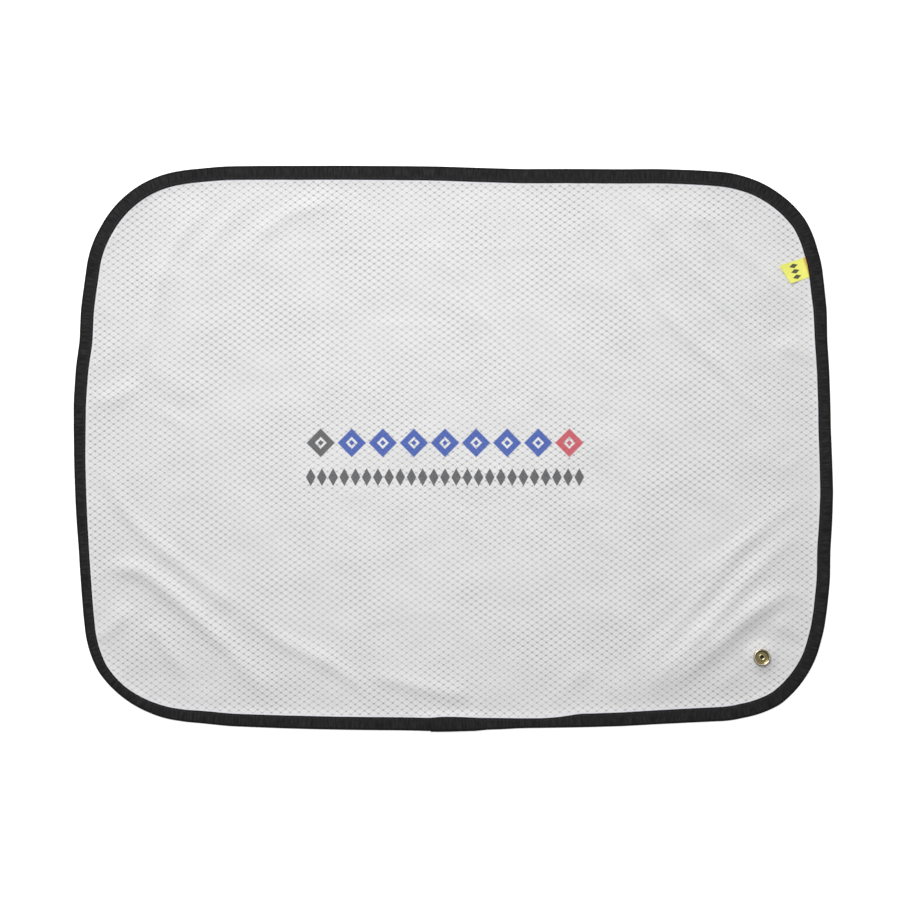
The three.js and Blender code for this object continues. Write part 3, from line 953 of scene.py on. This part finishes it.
@dataclass
class Lay:
    """How the cloth lies: its height over the floor at any place."""

    edge: CoverEdge
    snap: np.ndarray
    to_light: tuple[float, float] = (-0.38, 0.92)
    rim_height: float = 0.00055
    rim_run: float = 0.006
    snap_height: float = 0.00155
    snap_flat: float = 0.0075
    snap_run: float = 0.0165
    calm_run: float = 0.030
    tape_share: float = 0.55
    fade_run: float = 0.030
    ripple_seed: int = 11
    ripple_count: int = 14
    ripple_slope: float = 0.011
    ripple_base: float = 0.0004
    ripple_lengths: tuple[float, float] = (0.018, 0.065)
    pucker_slope: float = 0.03
    pucker_reach: float = 0.009
    pucker_drop: float = 0.00005
    pucker_waves: Pairs = ((71, 0.4), (97, 2.1), (131, 4.0), (173, 1.2))

    def ripple(self, places: np.ndarray) -> np.ndarray:
        """Measure the faint unevenness of cloth that has been folded.

        Args:
            places: Rows of x and y.

        Returns:
            The height at each place.
        """
        draw = np.random.default_rng(self.ripple_seed)
        total = np.full(len(places), self.ripple_base)
        for _ in range(self.ripple_count):
            turn, phase = draw.uniform(0, 2 * math.pi, 2)
            wave = 2 * math.pi / draw.uniform(*self.ripple_lengths)
            direction = np.array([math.cos(turn), math.sin(turn)])
            total += self.ripple_slope / wave * np.sin(places @ direction * wave + phase)
        return total

    def pucker(self, places: np.ndarray) -> np.ndarray:
        """Measure the small gathers where the tape's stitches draw the cloth up.

        Args:
            places: Rows of x and y.

        Returns:
            The height at each place.
        """
        edge = self.edge
        angle = edge.polar(places)[0]
        past = edge.depth(places) - edge.beside(places, edge.widths)
        envelope = smooth(past, -0.001, 0.002) * np.exp(-np.maximum(past, 0.0) / self.pucker_reach)
        total = np.zeros(len(places))
        for waves, phase in self.pucker_waves:
            length = edge.step * edge.count / waves
            total += self.pucker_slope * length / (2 * math.pi) * np.sin(np.radians(angle) * waves + phase)
        return total * envelope

    def lift(self, places: np.ndarray) -> np.ndarray:
        """Measure how far the wrinkles raise the cover, tape and all.

        Args:
            places: Rows of x and y.

        Returns:
            The height at each place.
        """
        offset = places - self.edge.middle
        to_light = np.array(self.to_light)
        total = self.ripple(places)
        for wrinkle in WRINKLES:
            total += wrinkle.rise(offset, to_light)
        depth = self.edge.depth(places)
        width = self.edge.beside(places, self.edge.widths)
        fade = self.tape_share + (1 - self.tape_share) * smooth(depth, width, width + self.fade_run)
        from_snap = np.linalg.norm(places - self.snap, axis=1)
        return np.maximum(total, 0.0) * fade * smooth(from_snap, self.snap_flat, self.calm_run)

    def underside(self, places: np.ndarray) -> np.ndarray:
        """Measure the height of the fabric's underside.

        Args:
            places: Rows of x and y.

        Returns:
            The height at each place.
        """
        edge = self.edge
        depth, width = edge.depth(places), edge.beside(places, edge.widths)
        rim = self.rim_height + edge.beside(places, edge.rises)
        rim = rim * (1 - smooth(depth, width, width + self.rim_run))
        from_snap = np.linalg.norm(places - self.snap, axis=1)
        bump = self.snap_height * (1 - smooth(from_snap, self.snap_flat, self.snap_run))
        return np.maximum(rim, bump) + self.lift(places) + np.maximum(self.pucker(places), -self.pucker_drop)


@dataclass
class FabricSheet:
    """The ply of grid fabric."""

    lay: Lay
    thickness: float = 0.0004
    grid_pitch: float = 0.00275
    under_tape: tuple[float, ...] = (0.00135, 0.0042)
    past_tape: tuple[float, ...] = (-0.0008, 0.0, 0.0008, 0.0018, 0.0031, 0.0046, 0.0064, 0.0086)
    snap_rings: tuple[float, ...] = (0.0023, 0.0045, 0.0070, 0.0086, 0.0102, 0.0118, 0.0135, 0.0152, 0.017)
    snap_sides: int = 48

    def plan(self) -> tuple[np.ndarray, list[tuple[int, int]]]:
        """Choose the sheet's vertices, seen from above.

        Returns:
            Rows of x and y, and the edges that bound the sheet and its hole.
        """
        edge, snap = self.lay.edge, self.lay.snap
        insets = [np.full(edge.count, inset) for inset in self.under_tape]
        insets += [edge.widths + past for past in self.past_tape]
        rings = [edge.points - edge.normals * inset[:, None] for inset in insets]
        turn = np.arange(self.snap_sides) / self.snap_sides * 2 * math.pi
        circle = np.column_stack([np.cos(turn), np.sin(turn)])
        snap_rings = [snap + circle * radius for radius in self.snap_rings]
        reach = (edge.length / 2, edge.width / 2)
        rows = [np.arange(-half, half, self.grid_pitch) for half in reach]
        grid = np.stack(np.meshgrid(*rows), axis=-1).reshape(-1, 2) + edge.middle
        gap = self.grid_pitch * 0.6
        inner = edge.depth(grid) > edge.beside(grid, edge.widths) + self.past_tape[-1] + gap
        off_snap = np.linalg.norm(grid - snap, axis=1) > self.snap_rings[-1] + gap
        places = np.concatenate([*rings, *snap_rings, grid[inner & off_snap]])
        first = edge.count * len(rings)
        loops = [(0, edge.count), (first, self.snap_sides)]
        bounds = [(start + i, start + (i + 1) % count) for start, count in loops for i in range(count)]
        return places, bounds

    def build(self) -> bpy.types.Object:
        """Build the sheet.

        Returns:
            The finished piece.
        """
        edge = self.lay.edge
        places, bounds = self.plan()
        vectors = [Vector(place) for place in places.tolist()]
        corners, _, faces, *_ = delaunay_2d_cdt(vectors, bounds, [], 1, 1e-8)
        flat = np.array([tuple(corner) for corner in corners])
        middles = flat[np.array(faces)].mean(axis=1)
        solid = np.linalg.norm(middles - self.lay.snap, axis=1) > self.snap_rings[0]
        faces = [face for face, kept in zip(faces, solid) if kept]
        height = self.lay.underside(flat) + self.thickness
        piece = new_piece("fabric_sheet", np.column_stack([flat, height]), faces)
        if piece.data.polygons[0].normal.z < 0:
            piece.data.flip_normals()
        lay_uv(piece, "cloth", flat - edge.middle)
        width = edge.beside(flat, edge.widths)
        beside = 1 - smooth(edge.depth(flat), width + 0.6 * MM, width + 1.9 * MM)
        attribute = piece.data.attributes.new("beside_tape", "FLOAT", "POINT")
        attribute.data.foreach_set("value", beside.astype(np.float32))
        piece.data.materials.append(GridFabric("grid_fabric_face", printed=True).make())
        piece.data.materials.append(GridFabric("grid_fabric_back", printed=False).make())
        thicken(piece, self.thickness, 1)
        smooth_faces(piece, 50)
        hand_over(piece, "grid_fabric", "fabric_panel")
        return piece


@dataclass
class FoldedTape:
    """The tape round the edge: one length, folded over the fabric, its first stretch over its last."""

    lay: Lay
    thickness: float = 0.0005
    cavity: float = 0.0005
    stitch_inset: float = 0.0016
    stitch_dip: float = 0.00011
    dip_between: float = 0.25
    dip_reach: float = 0.00045
    edge_round: float = 0.00012
    leg_shares: tuple[float, float] = (0.62, 0.34)
    fold_steps: int = 8
    tag_rise: float = 0.0005
    tag_reach: float = 0.0095
    tag_runout: float = 0.006
    fold_centre: float = field(init=False)
    tag_rises: np.ndarray = field(init=False)

    def __post_init__(self) -> None:
        """Work out how far the tag lifts the tape at each station."""
        self.fold_centre = self.cavity / 2 + self.thickness
        self.tag_rises = np.zeros(self.lay.edge.count)

    def make_room_for_tag(self, station: int) -> None:
        """Raise the upper leg where a tag is sewn in.

        Args:
            station: The station at the tag's middle.
        """
        edge = self.lay.edge
        away = abs(edge.stations - edge.stations[station])
        past_tag = smooth(away, self.tag_reach, self.tag_reach + self.tag_runout)
        self.tag_rises = self.tag_rise * (1 - past_tag)

    def middle_height(self) -> np.ndarray:
        """Give the height of the fold's middle at each station, without the wrinkles."""
        return self.fold_centre + self.lay.edge.rises

    def fold(self, radius: float) -> list[tuple[float, float, float]]:
        """Draw the fold's half round, from the upper leg to the lower one.

        Args:
            radius: Its radius.

        Returns:
            Its corners, in the same way as the section's.
        """
        centre = self.fold_centre
        turns = [math.pi / 2 * (1 - 2 * step / self.fold_steps) for step in range(1, self.fold_steps)]
        return [
            (centre - radius * math.cos(turn), radius * math.sin(turn), centre * 2 * turn / math.pi)
            for turn in turns
        ]

    def section(self, station: int, over: float, hole: bool) -> list[tuple[float, float, float]]:
        """Draw the folded tape's section at a station.

        Args:
            station: The station.
            over: How far this layer lies outside the one below it.
            hole: Whether a stitch goes down here.

        Returns:
            For each corner its distance inwards, its height from the fold's middle and its place
            across the flat tape.
        """
        width = self.lay.edge.widths[station]
        outer, inner = self.fold_centre + over, self.cavity / 2 + over
        line = width - self.stitch_inset
        dip = self.stitch_dip * (1.0 if hole else self.dip_between)
        leg = [
            (width, outer - self.edge_round),
            (width - self.edge_round, outer),
            (line + self.dip_reach, outer),
            (line, outer - dip),
            (line - self.dip_reach, outer),
            *((line * share, outer) for share in self.leg_shares),
            (self.fold_centre, outer),
        ]
        upper = [(inwards, height, inwards) for inwards, height in leg]
        lower = [(inwards, -height, -inwards) for inwards, height in reversed(leg)]
        centre = self.fold_centre
        lining = [(width, -inner, -width), (centre, -inner, -centre)]
        lining += [(inwards, -height, -across) for inwards, height, across in self.fold(inner)]
        lining += [(centre, inner, centre), (width, inner, width)]
        return upper + self.fold(outer) + lower + lining

    def build(self) -> bpy.types.Object:
        """Build the tape.

        Returns:
            The finished piece.
        """
        edge = self.lay.edge
        under_lap = round(edge.lap_length / edge.step)
        run = range(edge.count + under_lap + 1)
        middle = self.middle_height()
        rows, flats = [], []
        for index in run:
            station = index % edge.count
            over = edge.overs[station] if index < edge.count // 2 else 0.0
            shape = np.array(self.section(station, over, index % 2 == 0))
            inwards, heights, across = shape.T
            places = edge.points[station] - edge.normals[station] * inwards[:, None]
            raised = self.tag_rises[station] * smooth(inwards, 0.6 * MM, 3 * MM) * (heights > 0)
            rows.append(np.column_stack([places, middle[station] + heights + raised]))
            flats.append(np.column_stack([np.full(len(shape), index * edge.step), across]))
        corners = np.concatenate(rows)
        corners[:, 2] += self.lay.lift(corners[:, :2])
        count, last = len(rows[0]), (len(rows) - 1) * len(rows[0])
        faces = [
            (row + i, row + j, row + count + j, row + count + i)
            for row in range(0, last, count)
            for i in range(count)
            for j in [(i + 1) % count]
        ]
        faces += [tuple(range(count)), tuple(range(last + count - 1, last - 1, -1))]
        piece = new_piece("folded_tape", corners, faces)
        lay_uv(piece, "tape", np.concatenate(flats))
        face_out(piece)
        piece.data.materials.append(TapeFinish().make())
        smooth_faces(piece, 60)
        hand_over(piece, "binding_tape", "edge_binding")
        return piece


@dataclass
class TapeStitches:
    """The straight stitches along the tape, on both faces, one object of many short threads."""

    tape: FoldedTape
    radius: float = 0.00015
    sides: int = 6
    slant: float = 0.00012
    profile: Pairs = ((0.05, -0.14), (0.2, 0.02), (0.5, 0.07), (0.8, 0.02), (0.95, -0.14))

    def build(self) -> bpy.types.Object:
        """Build the stitches.

        Returns:
            The finished piece.
        """
        edge, lay, tape = self.tape.lay.edge, self.tape.lay, self.tape
        line = edge.points - edge.normals * (edge.widths - tape.stitch_inset)[:, None]
        half = tape.fold_centre + edge.overs * (edge.stations < edge.stations[-1] / 2)
        starts = np.arange(0, edge.count, 2)
        ends = (starts + 2) % edge.count
        turns = np.arange(self.sides) / self.sides * 2 * math.pi
        rings = []
        for face in (1, -1):
            level = tape.middle_height() + face * half + (tape.tag_rises if face > 0 else 0.0)
            run = []
            for share, height in self.profile:
                place = line[starts] + (line[ends] - line[starts]) * share
                place = place + edge.normals[starts] * self.slant * (share - 0.5) * 2
                middle = level[starts] + (level[ends] - level[starts]) * share
                middle = middle + lay.lift(place) + face * height * MM
                aside = edge.normals[starts][:, None, :] * (self.radius * np.cos(turns))[None, :, None]
                around = place[:, None, :] + aside
                heights = middle[:, None] + self.radius * np.sin(turns)[None, :]
                run.append(np.concatenate([around, heights[:, :, None]], axis=2))
            rings.append(np.stack(run, axis=1))
        corners = np.concatenate(rings)
        stitches, across, sides = corners.shape[0], corners.shape[1], self.sides
        faces = []
        for base in range(0, stitches * across * sides, across * sides):
            for ring in range(base, base + (across - 1) * sides, sides):
                for i in range(sides):
                    j = (i + 1) % sides
                    faces.append((ring + i, ring + j, ring + sides + j, ring + sides + i))
            end = base + (across - 1) * sides
            faces.append(tuple(range(base + sides - 1, base - 1, -1)))
            faces.append(tuple(range(end, end + sides)))
        piece = new_piece("tape_stitches", corners.reshape(-1, 3), faces)
        face_out(piece)
        piece.data.materials.append(ThreadFinish().make())
        smooth_faces(piece, 60)
        hand_over(piece, "binding_tape")
        return piece


@dataclass
class RibbonTag:
    """The ribbon tag that is sewn in under the tape."""

    lay: Lay
    edge_angle: float = 26.6
    width: float = 0.0164
    length: float = 0.0192
    tuck: float = 0.0066
    end_skew: float = 0.0021
    tilt: float = 8.0
    thickness: float = 0.00035
    curl: float = 0.0011
    over_fabric: float = 0.00045
    rows: int = 30
    columns: int = 18

    def station(self) -> int:
        """Find the station at the tag's middle."""
        return int(abs(self.lay.edge.angles - self.edge_angle).argmin())

    def build(self) -> bpy.types.Object:
        """Build the tag.

        Returns:
            The finished piece.
        """
        edge, station = self.lay.edge, self.station()
        normal = edge.normals[station]
        mouth = edge.points[station] - normal * edge.widths[station]
        turn = math.atan2(-normal[1], -normal[0]) + math.radians(self.tilt)
        along = np.array([math.cos(turn), math.sin(turn)])
        aside = np.array([along[1], -along[0]])
        sides, steps = np.linspace(-1, 1, self.columns + 1), np.linspace(0, 1, self.rows + 1)
        side_shares, end_shares = (shares.ravel() for shares in np.meshgrid(sides, steps))
        across = side_shares * self.width / 2
        ends = self.length + self.end_skew * side_shares
        out = -self.tuck + (ends + self.tuck) * end_shares
        places = mouth + along * out[:, None] + aside * across[:, None]
        curl = self.curl * smooth(out, 0.35 * self.length, 1.15 * self.length)
        curl = curl * (0.8 + 0.4 * side_shares**2)
        height = self.lay.underside(places) + self.over_fabric + self.thickness + curl
        row = self.columns + 1
        faces = [
            (r * row + c, r * row + c + 1, (r + 1) * row + c + 1, (r + 1) * row + c)
            for r in range(self.rows)
            for c in range(self.columns)
        ]
        piece = new_piece("ribbon_tag", np.column_stack([places, height]), faces)
        if piece.data.polygons[0].normal.z < 0:
            piece.data.flip_normals()
        lay_uv(piece, "ribbon", np.column_stack([across, out]))
        piece.data.materials.append(RibbonFinish().make())
        thicken(piece, self.thickness, 0)
        smooth_faces(piece, 50)
        hand_over(piece, "tag_ribbon", "label_tag")
        return piece


def turned(name: str, centre: np.ndarray, profile: Pairs, ring: bool) -> bpy.types.Object:
    """Turn a piece about an upright axis: a circle is extruded and resized from point to point.

    Args:
        name: The piece's name.
        centre: The axis, as x and y.
        profile: Radii and heights in millimetres.
        ring: Whether the profile closes on itself. Otherwise both ends get a flat face.

    Returns:
        The piece.
    """
    bpy.ops.object.select_all(action="DESELECT")
    radius, height = profile[0]
    place = (centre[0], centre[1], height * MM)
    fill = "NOTHING" if ring else "NGON"
    bpy.ops.mesh.primitive_circle_add(vertices=96, radius=radius * MM, fill_type=fill, location=place)
    piece = bpy.context.object
    piece.name = piece.data.name = name
    bpy.ops.object.mode_set(mode="EDIT")
    bpy.ops.mesh.select_mode(type="EDGE")
    bpy.ops.mesh.select_all(action="SELECT")
    for next_radius, next_height in profile[1:]:
        rise = {"value": (0.0, 0.0, (next_height - height) * MM)}
        bpy.ops.mesh.extrude_edges_move(TRANSFORM_OT_translate=rise)
        scale = next_radius / radius
        pivot = (centre[0], centre[1], next_height * MM)
        bpy.ops.transform.resize(value=(scale, scale, 1.0), center_override=pivot)
        radius, height = next_radius, next_height
    bpy.ops.mesh.select_all(action="DESELECT")
    bpy.ops.mesh.select_non_manifold()
    if ring:
        bpy.ops.mesh.bridge_edge_loops()
    else:
        bpy.ops.mesh.edge_face_add()
    bpy.ops.mesh.select_all(action="SELECT")
    bpy.ops.mesh.normals_make_consistent(inside=False)
    bpy.ops.object.mode_set(mode="OBJECT")
    bpy.ops.object.transform_apply(location=True, rotation=True, scale=True)
    smooth_faces(piece, 38)
    return piece


@dataclass
class CordSnap:
    """The snap for a ground cord: a socket on the face, and a cap below whose post is rolled over."""

    centre: np.ndarray
    socket_profile: Pairs = (
        (2.05, 2.0), (6.3, 2.0), (6.6, 2.08), (6.74, 2.3), (6.68, 2.52), (6.35, 2.75), (6.15, 3.1),
        (6.12, 3.5), (6.25, 3.8), (6.52, 3.98), (6.72, 4.18), (6.72, 4.36), (6.55, 4.53), (6.3, 4.6),
        (6.0, 4.6), (5.7, 4.54), (5.45, 4.38), (5.3, 4.15), (5.2, 3.8), (5.22, 3.4), (5.32, 3.1),
        (5.3, 2.85), (5.1, 2.65), (4.7, 2.54), (4.1, 2.5), (3.3, 2.5), (2.9, 2.52), (2.05, 2.5),
    )
    cap_profile: Pairs = (
        (3.0, 0.0), (4.1, 0.05), (5.0, 0.18), (5.7, 0.4), (6.1, 0.68), (6.28, 0.98), (6.28, 1.2),
        (6.15, 1.42), (5.9, 1.5), (2.3, 1.5), (1.95, 1.54), (1.8, 1.7), (1.8, 2.45), (1.86, 2.55),
        (2.2, 2.56), (2.5, 2.66), (2.6, 2.84), (2.54, 3.02), (2.36, 3.13), (2.1, 3.15), (1.8, 3.08),
        (1.52, 2.92), (1.3, 2.68), (1.21, 2.4), (1.2, 1.1), (1.1, 0.9), (0.8, 0.8),
    )
    # Painted light in the socket's rings: the dark orange wall ring is a painted reflection and the bright
    # rim ring is a painted highlight. The well floor ring is the brass colour.
    socket_rings_with_painted_light: Rings = (
        (0.0, (0.40, 0.35, 0.16)), (4.7, (0.34, 0.22, 0.08)), (5.45, (0.86, 0.80, 0.66)),
        (6.5, (0.34, 0.26, 0.14)),
    )
    # Painted shade in the cap's rings: the near-black colour inside the post's bore stands for the shade in
    # the hole.
    cap_rings_with_painted_shade: Rings = (
        (0.0, (0.015, 0.013, 0.01)), (1.45, (0.62, 0.56, 0.36)), (2.5, (0.30, 0.26, 0.14)),
        (3.2, (0.66, 0.62, 0.5)),
    )

    def build(self) -> list[bpy.types.Object]:
        """Build both pieces of the snap.

        Returns:
            The socket, and the cap with its post.
        """
        axis = (float(self.centre[0]), float(self.centre[1]))
        socket = turned("socket_ring", self.centre, self.socket_profile, ring=True)
        socket.data.materials.append(StampedMetal("socket_brass", axis, self.socket_rings_with_painted_light, 0.2).make())
        hand_over(socket, "snap_socket_metal", "snap_socket")
        cap = turned("cap_and_post", self.centre, self.cap_profile, ring=False)
        cap.data.materials.append(StampedMetal("cap_plate", axis, self.cap_rings_with_painted_shade, 0.2).make())
        hand_over(cap, "snap_cap_metal", "snap_cap")
        return [socket, cap]


@dataclass(frozen=True)
class Lamp:
    """A square lamp, which the camera doesn't see."""

    place: tuple[float, float, float]
    target: tuple[float, float, float]
    side: float
    power: float

    def build(self) -> None:
        """Add the lamp."""
        bpy.ops.object.light_add(type="AREA", location=self.place)
        lamp = bpy.context.object
        lamp.data.shape = "SQUARE"
        lamp.data.size = self.side
        lamp.data.energy = self.power
        lamp.visible_camera = False
        towards = Vector(self.target) - Vector(self.place)
        lamp.rotation_euler = towards.to_track_quat("-Z", "Y").to_euler()


@dataclass(frozen=True)
class Studio:
    """The floor, the soft light and the camera, which looks straight down at the cover."""

    camera_height: float = 2.0
    sensor: float = 36.0
    photo_side: int = 900
    photo_middle: tuple[float, float] = (453.1, 448.3)
    metres_per_pixel: float = 0.0008045
    floor_side: float = 40.0
    floor_height: float = -0.0003
    floor_glow: float = 0.62
    sky_front: float = 0.10
    sky_back: float = 0.56
    sky_turn: tuple[float, float] = (-0.7, 0.2)
    key: Lamp = Lamp((-0.6, 1.45, 1.45), (0.0, 0.0, 0.0), 1.2, 28.0)
    top: Lamp = Lamp((0.0, 0.08, 0.70), (0.0, 0.08, 0.0), 0.3, 1.6)

    def build(self) -> None:
        """Build the whole studio."""
        scene = bpy.context.scene
        scene.view_settings.view_transform = "Standard"
        scene.view_settings.look = "None"
        self.add_floor()
        self.add_sky()
        self.key.build()
        self.top.build()
        self.add_camera()

    def add_floor(self) -> None:
        """Add a plain pale floor."""
        bpy.ops.mesh.primitive_plane_add(size=self.floor_side, location=(0.0, 0.0, self.floor_height))
        floor = bpy.context.object
        floor.name = "floor"
        bench = NodeBench("pale_floor")
        bench.shade(Base_Color=(0.9, 0.9, 0.9, 1.0), Roughness=0.9, Specular_IOR_Level=0.1)
        bench.shade(Emission_Color=(1.0, 1.0, 1.0, 1.0), Emission_Strength=self.floor_glow)
        floor.data.materials.append(bench.material)

    def add_sky(self) -> None:
        """Add a sky that is bright at the back and dim at the front, so that shaded slopes stay dark."""
        world = bpy.data.worlds.new("studio_sky")
        world.use_nodes = True
        tree = world.node_tree
        direction = tree.nodes.new("ShaderNodeTexCoord")
        split = tree.nodes.new("ShaderNodeSeparateXYZ")
        ramp = tree.nodes.new("ShaderNodeMapRange")
        ramp.interpolation_type = "SMOOTHSTEP"
        for place, value in enumerate((*self.sky_turn, self.sky_front, self.sky_back), start=1):
            ramp.inputs[place].default_value = value
        background = tree.nodes["Background"]
        background.inputs[0].default_value = (1.0, 1.0, 1.0, 1.0)
        tree.links.new(direction.outputs["Generated"], split.inputs[0])
        tree.links.new(split.outputs[1], ramp.inputs[0])
        tree.links.new(ramp.outputs[0], background.inputs[1])
        bpy.context.scene.world = world

    def add_camera(self) -> None:
        """Add the camera, so that the cover's middle is where the photograph has it."""
        half = self.photo_side / 2
        x = (half - self.photo_middle[0]) * self.metres_per_pixel
        y = (self.photo_middle[1] - half) * self.metres_per_pixel
        low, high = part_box("fabric_panel")
        place = (x, y + (low[1] + high[1]) / 2, self.camera_height)
        bpy.ops.object.camera_add(location=place, rotation=(0.0, 0.0, 0.0))
        camera = bpy.context.object
        camera.data.sensor_width = self.sensor
        camera.data.lens = self.sensor * self.camera_height / (self.photo_side * self.metres_per_pixel)
        camera.data.clip_start = 0.01
        camera.data.clip_end = 50.0
        bpy.context.scene.camera = camera


def main() -> None:
    """Build the studio and the cover, piece by piece."""
    logging.basicConfig(level=logging.INFO, format="%(message)s")
    Studio().build()
    low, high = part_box("snap_socket")
    centre = np.array([low[0] + high[0], low[1] + high[1]]) / 2
    lay = Lay(CoverEdge(), centre)
    cloth = FabricSheet(lay).build()
    tag_maker = RibbonTag(lay)
    tape_maker = FoldedTape(lay)
    tape_maker.make_room_for_tag(tag_maker.station())
    tape = tape_maker.build()
    stitches = TapeStitches(tape_maker).build()
    tag = tag_maker.build()
    snap = CordSnap(centre).build()


if __name__ == "__main__":
    main()
